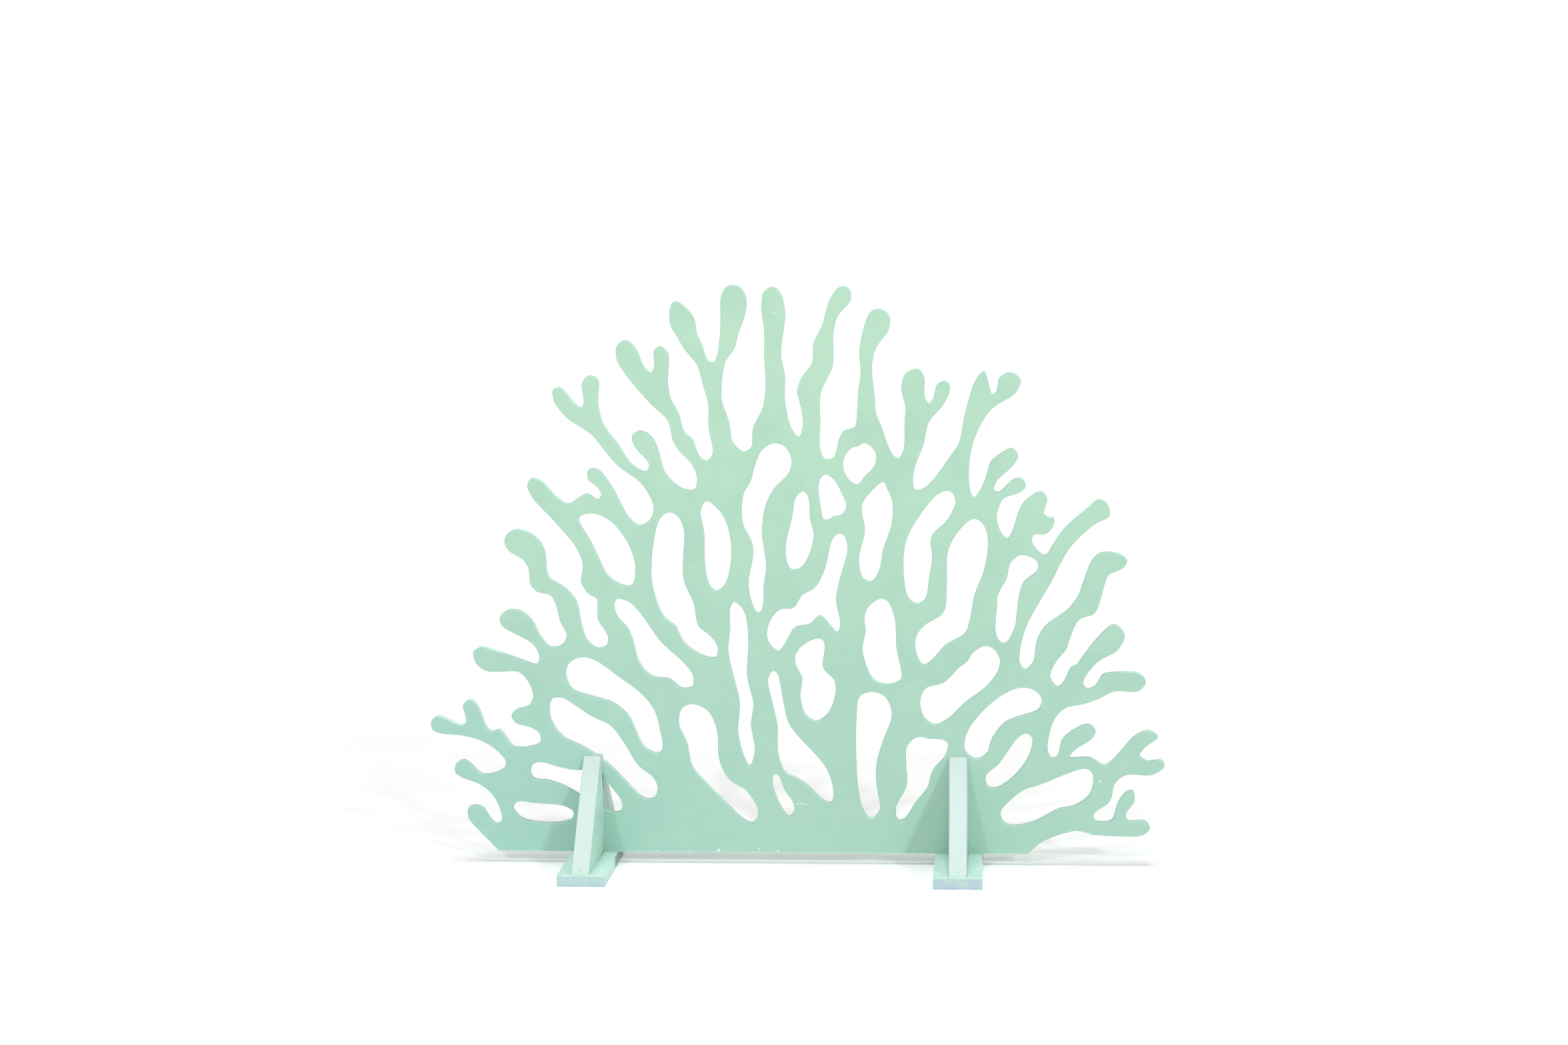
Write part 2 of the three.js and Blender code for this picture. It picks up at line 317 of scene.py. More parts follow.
@dataclass(frozen=True)
class RolledEnamel:
    """Satin water-based enamel, rolled on the two faces of a sheet of smooth board.

    It gives the eye an even mint with cloudy changes of tone, a soft broad sheen and the fine
    stipple that a foam roller leaves. The colour is painted darker at the foot and a little
    lighter and warmer towards the top, as painted shade and painted light, and it is bluer low
    down on the left.

    Attributes:
        low: the mint at the board's foot, darker as painted shade.
        high: the warmer mint at its top, lighter as painted light; also the tone of the blotches.
        cool: the bluer mint low down on the left.
        cloud: the tone of the clouds.
        speck: the tone of specks and scratches.
        cool_cover: how much the bluer mint hides what is below it.
        sheen: roughness where least and most worn.
        clouds: broad changes of tone.
        blotches: smaller ones, which also dull the sheen.
        stipple: what the roller leaves.
        stipple_depth: how high the stipple stands.
        specks: the specks on the front.
        scratches: the scratches on the front.
    """

    low: str = "9ac1b0"
    high: str = "a9ceb5"
    cool: str = "90bfb4"
    cloud: str = "94bdac"
    speck: str = "dff2ea"
    cool_cover: float = 0.8
    sheen: tuple[float, float] = (0.4, 0.52)
    clouds: Scatter = Scatter(160 * MM, 0.42, 0.68, cover=0.4)
    blotches: Scatter = Scatter(42 * MM, 0.45, 0.75, cover=0.2)
    stipple: Scatter = Scatter(3 * MM, 0.2, 0.8)  # a foam roller's is about 1 mm, coarser so that it shows
    stipple_depth: float = 0.12 * MM
    specks: tuple[Speck, ...] = ()
    scratches: tuple[Scratch, ...] = ()

    def off_centre(self, shop: PaintShop, x: float, z: float) -> Socket:
        """How far each point of the face is from one place on it."""
        flat = add(shop.tree, "CombineXYZ", {"X": shop.axis["X"], "Z": shop.axis["Z"]})
        return add(shop.tree, "VectorMath", {0: flat, 1: (x, 0.0, z)}, "Value", operation="DISTANCE")

    def mark_speck(self, shop: PaintShop, speck: Speck) -> None:
        """Lays a soft pale dot on the front."""
        dot = Band(self.off_centre(shop, speck.x, speck.z), speck.radius * 1.3, speck.radius * 0.5)
        shop.coat(self.speck, speck.strength, dot, shop.front)

    def mark_scratch(self, shop: PaintShop, scratch: Scratch) -> None:
        """Lays a thin pale arc that fades at its ends on the front.

        Args:
            shop: the surface that it goes on.
            scratch: where it is and how big.
        """
        reach = self.off_centre(shop, scratch.x, scratch.z)
        limits = {0: reach, 1: scratch.radius, 2: scratch.half_width}
        on_line = add(shop.tree, "Math", limits, operation="COMPARE")
        aside = add(shop.tree, "Math", {0: shop.axis["X"], 1: scratch.x}, operation="SUBTRACT")
        aside = add(shop.tree, "Math", {0: aside}, operation="ABSOLUTE")
        short = Band(aside, scratch.spread, 0.5 * scratch.spread)
        above = Band(shop.axis["Z"], scratch.z, scratch.z + 0.2 * scratch.radius)
        shop.coat(self.speck, scratch.strength, on_line, short, above, shop.front)

    def build(self, low: Vector, high: Vector) -> bpy.types.Material:
        """Makes the material.

        Args:
            low: the board's lowest corner.
            high: its highest corner.

        Returns:
            The material of the board's faces.
        """
        shop = PaintShop("rolled_satin_enamel", self.low)
        # painted light and shade: the faces run from darker at the foot to lighter at the top
        shop.coat(self.high, 1.0, Band(shop.axis["Z"], low.z, high.z))
        low_down = Band(shop.axis["Z"], 0.5 * high.z, low.z)
        on_left = Band(shop.axis["X"], 0.1 * high.x, low.x)
        shop.coat(self.cool, self.cool_cover, low_down, on_left)
        shop.coat(self.cloud, self.clouds.cover, shop.patches(self.clouds))
        blotches = shop.patches(self.blotches)
        shop.coat(self.high, self.blotches.cover, blotches)
        for speck in self.specks:
            self.mark_speck(shop, speck)
        for scratch in self.scratches:
            self.mark_scratch(shop, scratch)
        return shop.cure(self.sheen, blotches, shop.patches(self.stipple), self.stipple_depth)


@dataclass(frozen=True)
class SealedEdge:
    """The same enamel brushed on the sawn edge, where it soaks in.

    It gives the eye a paler and drier strip than the faces have, with the faint ridges that the
    cutter left across the board's thickness.

    Attributes:
        pale: the tone where the paint lies on the surface.
        grey: the tone where it has soaked in, and on the ridges.
        sheen: roughness where least and most soaked.
        soaked: where the paint has soaked in.
        ridges: the cutter's marks.
        ridge_depth: how high they stand.
    """

    pale: str = "c6e8de"
    grey: str = "b5d9ce"
    sheen: tuple[float, float] = (0.56, 0.68)
    soaked: Scatter = Scatter(30 * MM, 0.4, 0.7, cover=0.6)
    # cutter marks are about 1 mm apart, drawn coarser so that they show
    ridges: Scatter = Scatter(2.5 * MM, 0.3, 0.8, cover=0.3, detail=2.0, stretch=(1, 12, 1))
    ridge_depth: float = 0.15 * MM

    def build(self) -> bpy.types.Material:
        """Makes the material.

        Returns:
            The material of the board's sawn edge.
        """
        shop = PaintShop("sealed_sawn_edge", self.pale)
        soaked = shop.patches(self.soaked)
        shop.coat(self.grey, self.soaked.cover, soaked)
        ridges = shop.patches(self.ridges)
        shop.coat(self.grey, self.ridges.cover, ridges)
        return shop.cure(self.sheen, soaked, ridges, self.ridge_depth)


@dataclass(frozen=True)
class BrushedEnamel:
    """Two brushed coats of pale enamel on planed softwood, the braces.

    It gives the eye long faint brush lines, a slope painted an almost white mint as a painted
    highlight where it faces up to the light, and a small dark crack at the toe.

    Attributes:
        mint: the tone of the braces' sides.
        pale: the tone of the slope, a painted highlight.
        deep: the tone of clouds and brush lines.
        crack: the tone of a crack.
        sheen: roughness where least and most worn.
        clouds: broad changes of tone.
        lines: the lines that the brush left.
        line_depth: how high they stand.
        cracks: the middle of each crack.
        crack_reach: how far a crack reaches to each side.
        crack_stretch: how many times further it reaches along the brace and up it.
        crack_cover: how much a crack hides the paint.
    """

    mint: str = "b9dccf"
    pale: str = "b9cac7"
    deep: str = "acd2c3"
    crack: str = "6f9488"
    sheen: tuple[float, float] = (0.45, 0.55)
    clouds: Scatter = Scatter(70 * MM, 0.4, 0.7, cover=0.35)
    # bristle lines are under 1 mm apart, drawn coarser so that they show
    lines: Scatter = Scatter(2.2 * MM, 0.3, 0.8, cover=0.16, detail=2.0, stretch=(1, 30, 30))
    line_depth: float = 0.1 * MM
    cracks: tuple[Vector, ...] = ()
    crack_reach: float = 1.6 * MM
    crack_stretch: float = 3.2
    crack_cover: float = 0.7

    def mark_crack(self, shop: PaintShop, middle: Vector) -> None:
        """Opens a short dark crack that runs up the slope.

        Args:
            shop: the surface that it goes on.
            middle: the crack's middle.
        """
        squeeze = (1.0, 1 / self.crack_stretch, 1 / self.crack_stretch)
        away = add(shop.tree, "VectorMath", {0: shop.place, 1: middle}, operation="SUBTRACT")
        away = add(shop.tree, "VectorMath", {0: away, 1: squeeze}, operation="MULTIPLY")
        reach = add(shop.tree, "VectorMath", {0: away}, "Value", operation="LENGTH")
        shop.coat(self.crack, self.crack_cover, Band(reach, self.crack_reach, 0.3 * self.crack_reach))

    def build(self) -> bpy.types.Material:
        """Makes the material.

        Returns:
            The material of the braces and the filler.
        """
        shop = PaintShop("brushed_pale_enamel", self.mint)
        clouds = shop.patches(self.clouds)
        shop.coat(self.deep, self.clouds.cover, clouds)
        # painted highlight: faces that look up are painted an almost white mint
        slope = Band(shop.facing["Z"], 0.3, 0.6)
        shop.coat(self.pale, 1.0, slope)
        lines = shop.patches(self.lines)
        shop.coat(self.deep, self.lines.cover, lines)
        for middle in self.cracks:
            self.mark_crack(shop, middle)
        return shop.cure(self.sheen, clouds, lines, self.line_depth)


@dataclass(frozen=True)
class ScuffedEnamel:
    """Mint enamel on a base plate, knocked about at the ends.

    It gives the eye a clean mint top, and ends where the paint is rubbed to a bluish white
    undercoat in ragged patches, most of all along the lower edge and at the corners. The sides
    are painted paler as painted light and darker next to the board as painted shade, and a
    patchy blue-grey painted shade runs along the foot at the floor.

    Attributes:
        scuffing: how worn the ends are, from 0 to 1.
        mint: the tone of the top.
        pale: the tone of its clouds, and of the sides as painted light.
        end: the tone of the ends and of brush lines.
        undercoat: the tone below the worn paint.
        chip: the tone of the worn upper edge at the ends, chipped paint with a painted highlight.
        floor_shade: the tone of the painted shade along the foot, at the floor.
        dull: the tone of the sides next to the board, a painted shade.
        sheen: roughness where least and most worn.
        clouds: broad changes of tone.
        brushed: the lines that the brush left.
        ragged: where the ends are rubbed.
        flecks: the gaps in the rubbed patches' relief.
        floor_shade_patches: where the painted shade along the foot lies.
        chip_relief: how high the ragged relief of the rubbed patches stands.
        floor_shade_height: how far up the painted shade at the floor reaches.
        dull_reach: how far from the board the sides are painted in shade.
        side_cover, dull_cover, chip_and_highlight_cover: how much those coats hide what is below them.
    """

    scuffing: float
    mint: str = "b8d7cc"
    pale: str = "c8e2db"
    end: str = "a9cac1"
    undercoat: str = "a9bcc8"
    chip: str = "d6e6e6"
    floor_shade: str = "7f9fbd"
    dull: str = "7f999b"
    sheen: tuple[float, float] = (0.5, 0.7)
    clouds: Scatter = Scatter(60 * MM, 0.4, 0.7, cover=0.6)
    # bristle lines are under 1 mm apart, drawn coarser so that they show
    brushed: Scatter = Scatter(3 * MM, 0.45, 0.8, cover=0.3, detail=2.0, stretch=(1, 25, 25))
    ragged: Scatter = Scatter(13 * MM, 0.4, 0.55, detail=4.0, stretch=(1.8, 1, 1))
    flecks: Scatter = Scatter(4 * MM, 0.45, 0.62)
    floor_shade_patches: Scatter = Scatter(13 * MM, 0.3, 0.6, cover=0.7)
    chip_relief: float = 0.3 * MM
    floor_shade_height: float = 3.5 * MM
    dull_reach: float = 40 * MM
    side_cover: float = 0.8
    dull_cover: float = 0.95
    chip_and_highlight_cover: float = 0.6

    def build(self, side: Side, low: Vector, high: Vector) -> bpy.types.Material:
        """Makes the material.

        Args:
            side: which foot the plate belongs to.
            low: the plate's lowest corner; not used.
            high: its highest corner.

        Returns:
            The material of that plate.
        """
        shop = PaintShop(f"scuffed_plate_enamel_{side.value}", self.mint)
        height = shop.axis["Z"]
        shop.coat(self.pale, self.clouds.cover, shop.patches(self.clouds))
        shop.coat(self.end, self.brushed.cover, shop.patches(self.brushed))
        ragged = shop.patches(self.ragged)
        from_board = add(shop.tree, "Math", {0: shop.axis["Y"]}, operation="ABSOLUTE")
        across = add(shop.tree, "Math", {0: shop.facing["X"]}, operation="ABSOLUTE")
        sideways = Band(across, 0.6, 0.95)
        # painted light: the sides are painted paler
        shop.coat(self.pale, self.side_cover, sideways)
        # painted shade: the sides are painted darker next to the board
        beside_board = Band(from_board, 1.5 * self.dull_reach, self.dull_reach)
        shop.coat(self.dull, self.dull_cover, sideways, beside_board)
        on_end = Band(from_board, high.y - 2 * MM, high.y - 0.5 * MM)
        shop.coat(self.end, 1.0, on_end)
        shop.coat(self.undercoat, self.scuffing, on_end, ragged)
        lower_half = Band(height, 0.55 * high.z, 0.15 * high.z)
        shop.coat(self.undercoat, 0.5 + 0.4 * self.scuffing, on_end, lower_half)
        # chipped paint and painted highlight: the upper edge at the ends is painted pale in ragged patches
        upper_edge = Band(height, 0.82 * high.z, 0.95 * high.z)
        near_end = Band(from_board, high.y - 9 * MM, high.y - 1 * MM)
        shop.coat(self.chip, self.chip_and_highlight_cover, near_end, upper_edge, ragged)
        # painted shade: a patchy blue-grey along the foot, where it meets the floor
        foot_line = Band(height, self.floor_shade_height, 0.3 * self.floor_shade_height)
        shop.coat(self.floor_shade, self.floor_shade_patches.cover, foot_line, shop.patches(self.floor_shade_patches))
        rubbed = shop.where(near_end, ragged)
        flecked = {0: rubbed, 1: shop.patches(self.flecks)}
        chips = add(shop.tree, "Math", flecked, operation="SUBTRACT", use_clamp=True)
        return shop.cure(self.sheen, rubbed, chips, self.chip_relief)


@dataclass(frozen=True)
class StudioFloor:
    """Matt white floor paint of the studio. It gives the eye a plain pale ground.

    Attributes:
        white: its tone.
        smudge: the tone of its smudges.
        smudges: where they are.
        sheen: roughness where least and most smudged.
        smudge_depth: how high a smudge stands.
        ior: the floor paint's index of refraction.
    """

    white: str = "f7f7f6"
    smudge: str = "f4f4f4"
    smudges: Scatter = Scatter(1.2, 0.3, 0.7)
    sheen: tuple[float, float] = (0.9, 0.95)
    smudge_depth: float = 0.01 * MM
    ior: float = 1.45

    def build(self) -> bpy.types.Material:
        """Makes the material.

        Returns:
            The material of the floor.
        """
        shop = PaintShop("studio_floor_paint", self.white)
        smudges = shop.patches(self.smudges)
        shop.coat(self.smudge, self.smudges.cover, smudges)
        return shop.cure(self.sheen, smudges, smudges, self.smudge_depth, self.ior)


# ---------------------------------------------------------------- mesh helpers


def keep_mesh(name: str, mesh: bmesh.types.BMesh, *materials: bpy.types.Material) -> bpy.types.Object:
    """Stores a mesh as an object of the scene.

    Args:
        name: the object's name.
        mesh: what it is made of. It is freed.
        materials: its materials, in slot order.

    Returns:
        The new object.
    """
    data = bpy.data.meshes.new(name)
    mesh.to_mesh(data)
    mesh.free()
    for material in materials:
        data.materials.append(material)
    made = bpy.data.objects.new(name, data)
    bpy.context.scene.collection.objects.link(made)
    return made


def place_piece(piece: bpy.types.Object, slot: Slot, stands_for: str | None = None) -> bpy.types.Object:
    """Fixes a piece to the panel's one body and reports it.

    Args:
        piece: the finished piece, already in place.
        slot: the material slot that it takes its finish from.
        stands_for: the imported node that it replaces, if any.

    Returns:
        The piece.
    """
    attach(piece, BODY)
    if stands_for:
        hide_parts(stands_for)
    log.info("%s: %d faces, slot %s", piece.name, len(piece.data.polygons), slot.value)
    return piece


def copy_solid(node: str) -> bmesh.types.BMesh:
    """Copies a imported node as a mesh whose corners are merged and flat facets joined.

    Args:
        node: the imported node's name.

    Returns:
        The new mesh.
    """
    mesh = bmesh.new()
    mesh.from_mesh(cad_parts[node].data)
    bmesh.ops.remove_doubles(mesh, verts=mesh.verts, dist=SAME_PLACE)
    bmesh.ops.dissolve_limit(mesh, angle_limit=math.radians(1), verts=mesh.verts, edges=mesh.edges)
    return mesh


def ease_edges(
    mesh: bmesh.types.BMesh, keep_sharp: Callable[[bmesh.types.BMEdge], bool], radius: float
) -> None:
    """Rounds the edges of a sawn timber as sandpaper does, a little unevenly.

    Args:
        mesh: the timber.
        keep_sharp: tells which edges stay as they are.
        radius: the rounding's radius.
    """
    step = 9 * MM
    wander_size, wander_depth = 14 * MM, 0.12 * MM
    sharp = [edge for edge in mesh.edges if not keep_sharp(edge)]
    parts = list(sharp)
    for edge in sharp:
        cuts = int(edge.calc_length() / step)
        if cuts:
            made = bmesh.ops.bisect_edges(mesh, edges=[edge], cuts=cuts)
            parts += [part for part in made["geom_split"] if isinstance(part, bmesh.types.BMEdge)]
    edges = [part for part in dict.fromkeys(parts) if part.is_valid]  # each once, in a fixed order
    settings = {"segments": 3, "profile": 0.5, "affect": "EDGES", "clamp_overlap": True}
    made = bmesh.ops.bevel(mesh, geom=edges, offset=radius, **settings)
    for face in made["faces"]:
        face.smooth = True
    for vertex in {v for face in made["faces"] for v in face.verts}:
        if vertex.co.z > radius:
            wander = noise.noise(vertex.co / wander_size) * wander_depth
            vertex.co -= vertex.normal * abs(wander)


# ---------------------------------------------------------------- the board


@dataclass(frozen=True)
class Chip:
    """A place where the board's lower front edge is broken away.

    Attributes:
        x: its middle along the board.
        width: how long it is along the edge.
        depth: how deep it is at its middle.
    """

    x: float
    width: float
    depth: float


@dataclass
class Board:
    """The sawn board: its faceted outline made smooth, with eased edges and small chips.

    Attributes:
        node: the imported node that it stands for.
        arris: how far the saw edge is rounded with sandpaper.
        arris_steps: how many facets the rounding has.
        longest_step: the longest facet of a nearly straight stretch.
        turn_step: how far the outline may turn from one facet to the next.
        chip_step: how finely the lower edge is divided, for its chips.
        chip_grain: how coarse the chips' broken surface is.
        chips: the chips in the lower front edge.
        low: the board's lowest corner.
        high: its highest corner.
    """

    node: str = "coral_board"
    arris: float = 1.3 * MM
    arris_steps: int = 3
    longest_step: float = 7 * MM
    turn_step: float = math.radians(9)
    chip_step: float = 1.2 * MM
    chip_grain: float = 1.7 * MM
    chips: tuple[Chip, ...] = (
        Chip(-0.290, 7 * MM, 1.8 * MM),
        Chip(-0.220, 9 * MM, 2.4 * MM),
        Chip(-0.160, 8 * MM, 4.2 * MM),
        Chip(-0.075, 5 * MM, 1.8 * MM),
        Chip(-0.035, 6 * MM, 2.2 * MM),
        Chip(-0.540, 6 * MM, 1.0 * MM),
    )
    low: Vector = field(init=False)
    high: Vector = field(init=False)

    def __post_init__(self) -> None:
        """Reads the board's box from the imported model."""
        self.low, self.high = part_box(self.node)

    def outlines(self) -> list[Loop]:
        """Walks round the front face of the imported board.

        Returns:
            The rim first, then each hole. Material is always on the left of the way round.
        """
        mesh = bmesh.new()
        mesh.from_mesh(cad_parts[self.node].data)
        bmesh.ops.remove_doubles(mesh, verts=mesh.verts, dist=SAME_PLACE)
        near = self.low.y + TOUCHING
        follow: dict[bmesh.types.BMVert, list[bmesh.types.BMVert]] = {}
        for edge in mesh.edges:
            a, b = edge.verts
            on_wall = any(abs(face.normal.y) < 0.5 for face in edge.link_faces)
            if on_wall and max(a.co.y, b.co.y) < near:
                follow.setdefault(a, []).append(b)
                follow.setdefault(b, []).append(a)
        loops = []
        while follow:
            start = next(iter(follow))
            here, line = start, []
            while here in follow:
                line.append((here.co.x, here.co.z))
                ways = follow.pop(here)
                here = next((v for v in ways if v in follow), None)
            loops.append(np.array(line))
        mesh.free()
        loops.sort(key=lambda loop: -abs(self.area(loop)))
        return [self.turned(loop, positive=index == 0) for index, loop in enumerate(loops)]

    @staticmethod
    def area(loop: Loop) -> float:
        """The area inside a loop, positive if it runs anticlockwise."""
        x, z = loop[:, 0], loop[:, 1]
        return 0.5 * float(np.sum(x * np.roll(z, -1) - np.roll(x, -1) * z))

    def turned(self, loop: Loop, positive: bool) -> Loop:
        """Gives the loop the wanted way round."""
        return loop if (self.area(loop) > 0) == positive else loop[::-1]

    def stations(self, before: np.ndarray, start: np.ndarray, end: np.ndarray, after: np.ndarray) -> Loop:
        """Places points on the smooth curve between two corners of a loop.

        Args:
            before: the corner ahead of the stretch.
            start: its first corner.
            end: its last corner.
            after: the corner past it.

        Returns:
            Points from start up to, but without, end.
        """
        knots = [0.0]
        corners = [before, start, end, after]
        for a, b in zip(corners, corners[1:]):
            knots.append(knots[-1] + max(math.sqrt(float(np.linalg.norm(b - a))), 1e-6))
        slope_in = (end - before) / (knots[2] - knots[0])
        slope_out = (after - start) / (knots[3] - knots[1])
        across = slope_in[0] * slope_out[1] - slope_in[1] * slope_out[0]
        turn = abs(math.atan2(across, slope_in @ slope_out))
        length = float(np.linalg.norm(end - start))
        count = max(1, math.ceil(turn / self.turn_step), math.ceil(length / self.longest_step))
        points = []
        for step in range(count):
            t = knots[1] + (knots[2] - knots[1]) * step / count
            level = corners
            for reach in (1, 2):
                spans = [(knots[i], knots[i + reach]) for i in range(len(level) - 1)]
                level = [self.between(a, b, *span, t) for a, b, span in zip(level, level[1:], spans)]
            points.append(self.between(*level, knots[1], knots[2], t))
        return np.array(points)

    @staticmethod
    def between(a: np.ndarray, b: np.ndarray, low: float, high: float, t: float) -> np.ndarray:
        """Blends two points by where t lies from low to high."""
        share = (t - low) / (high - low)
        return a * (1 - share) + b * share

    def smooth_hole(self, loop: Loop) -> Loop:
        """Makes a closed hole smooth all the way round."""
        around = zip(np.roll(loop, 1, axis=0), loop, np.roll(loop, -1, axis=0), np.roll(loop, -2, axis=0))
        return np.concatenate([self.stations(*corners) for corners in around])

    def smooth_rim(self, loop: Loop) -> Loop:
        """Makes the rim smooth, but for its straight lower edge and the two corners there.

        Args:
            loop: the rim's corners.

        Returns:
            The rim's points. The lower edge is divided finely, for its chips.
        """
        count = len(loop)
        on_floor = [i for i in range(count) if loop[i][1] < self.low.z + TOUCHING]
        first = next(i for i in on_floor if (i + 1) % count not in on_floor)
        loop = np.roll(loop, -first, axis=0)
        parts = []
        for i in range(count - 1):
            before = loop[i - 1] if i else 2 * loop[0] - loop[1]
            after = loop[i + 2] if i + 2 < count else 2 * loop[i + 1] - loop[i]
            parts.append(self.stations(before, loop[i], loop[i + 1], after))
        left, right = loop[-1], loop[0]
        steps = math.ceil(float(np.linalg.norm(right - left)) / self.chip_step)
        shares = np.arange(steps)[:, None] / steps
        parts.append(left * (1 - shares) + right * shares)
        return np.concatenate(parts)

    @staticmethod
    def inward(loop: Loop) -> Loop:
        """Finds how each point moves when the loop is set in by one unit, mitred at corners.

        Args:
            loop: the outline's points, with material on the left.

        Returns:
            A step in X and Z for each point.
        """
        ahead = np.roll(loop, -1, axis=0) - loop
        ahead /= np.linalg.norm(ahead, axis=1)[:, None]
        left = np.stack([-ahead[:, 1], ahead[:, 0]], axis=1)
        behind = np.roll(left, 1, axis=0)
        share = 1 + np.sum(left * behind, axis=1)[:, None]
        return (left + behind) / np.maximum(share, 0.4)

    def chip_depth(self, loop: Loop) -> np.ndarray:
        """Finds how much deeper the front edge is broken away than plain sanding leaves it.

        Args:
            loop: the outline's points.

        Returns:
            A depth for each point, 0 where there is no chip.
        """
        depth = np.zeros(len(loop))
        on_edge = loop[:, 1] < self.low.z + TOUCHING
        for chip in self.chips:
            off = np.clip(np.abs(loop[:, 0] - chip.x) / (chip.width / 2), 0, 1)
            rough = [noise.noise(Vector((x / self.chip_grain, chip.x / MM, 0))) for x in loop[:, 0]]
            depth += on_edge * chip.depth * (1 - off**2) * (0.75 + 0.5 * np.array(rough))
        return depth

    def rings(self, loop: Loop) -> list[np.ndarray]:
        """The board's edge round one loop, from the front face to the back.

        Args:
            loop: the outline's points.

        Returns:
            Rings of points in X, Y and Z.
        """
        way = self.inward(loop)
        front = self.arris + self.chip_depth(loop)
        back = np.full(len(loop), self.arris)
        made = []
        for wide, face, sign in ((front, self.low.y, 1), (back, self.high.y, -1)):
            side = []
            for step in range(self.arris_steps + 1):
                angle = math.pi / 2 * step / self.arris_steps
                inset = way * (wide * (1 - math.sin(angle)))[:, None]
                y = face + sign * wide * (1 - math.cos(angle))
                side.append(np.stack([loop[:, 0] + inset[:, 0], y, loop[:, 1] + inset[:, 1]], axis=1))
            made.append(side)
        return made[0] + made[1][::-1]

    def build(self, faces: bpy.types.Material, edges: bpy.types.Material) -> bpy.types.Object:
        """Makes the board with both its finishes.

        Args:
            faces: the finish of its two faces and of the rounding.
            edges: the finish of the sawn edge, and the painted highlight on the chipped lower arris.

        Returns:
            The piece.
        """
        mesh = bmesh.new()
        front_edges, back_edges = [], []
        for index, corners in enumerate(self.outlines()):
            loop = self.smooth_hole(corners) if index else self.smooth_rim(corners)
            # painted highlight: the chipped lower arris takes the pale edge finish
            worn = (loop[:, 1] < self.low.z + TOUCHING).tolist()
            rings = [[mesh.verts.new(point) for point in ring] for ring in self.rings(loop)]
            for row, (ring, following) in enumerate(zip(rings, rings[1:])):
                rounding = row < self.arris_steps or row > self.arris_steps
                for i, vertex in enumerate(ring):
                    j = (i + 1) % len(ring)
                    wall = mesh.faces.new((vertex, following[i], following[j], ring[j]))
                    wall.smooth = True
                    wall.material_index = 0 if rounding and not (worn[i] and worn[j]) else 1
            front_edges += [mesh.edges.get((a, b)) for a, b in zip(rings[0], rings[0][1:] + rings[0][:1])]
            back_edges += [mesh.edges.get((a, b)) for a, b in zip(rings[-1], rings[-1][1:] + rings[-1][:1])]
        for rim, normal in ((front_edges, Vector((0, -1, 0))), (back_edges, Vector((0, 1, 0)))):
            bmesh.ops.triangle_fill(mesh, edges=rim, use_beauty=True, normal=normal)
        bmesh.ops.recalc_face_normals(mesh, faces=mesh.faces)
        piece = keep_mesh("board_panel", mesh, faces, edges)
        return place_piece(piece, Slot.BOARD, self.node)


# ---------------------------------------------------------------- the feet


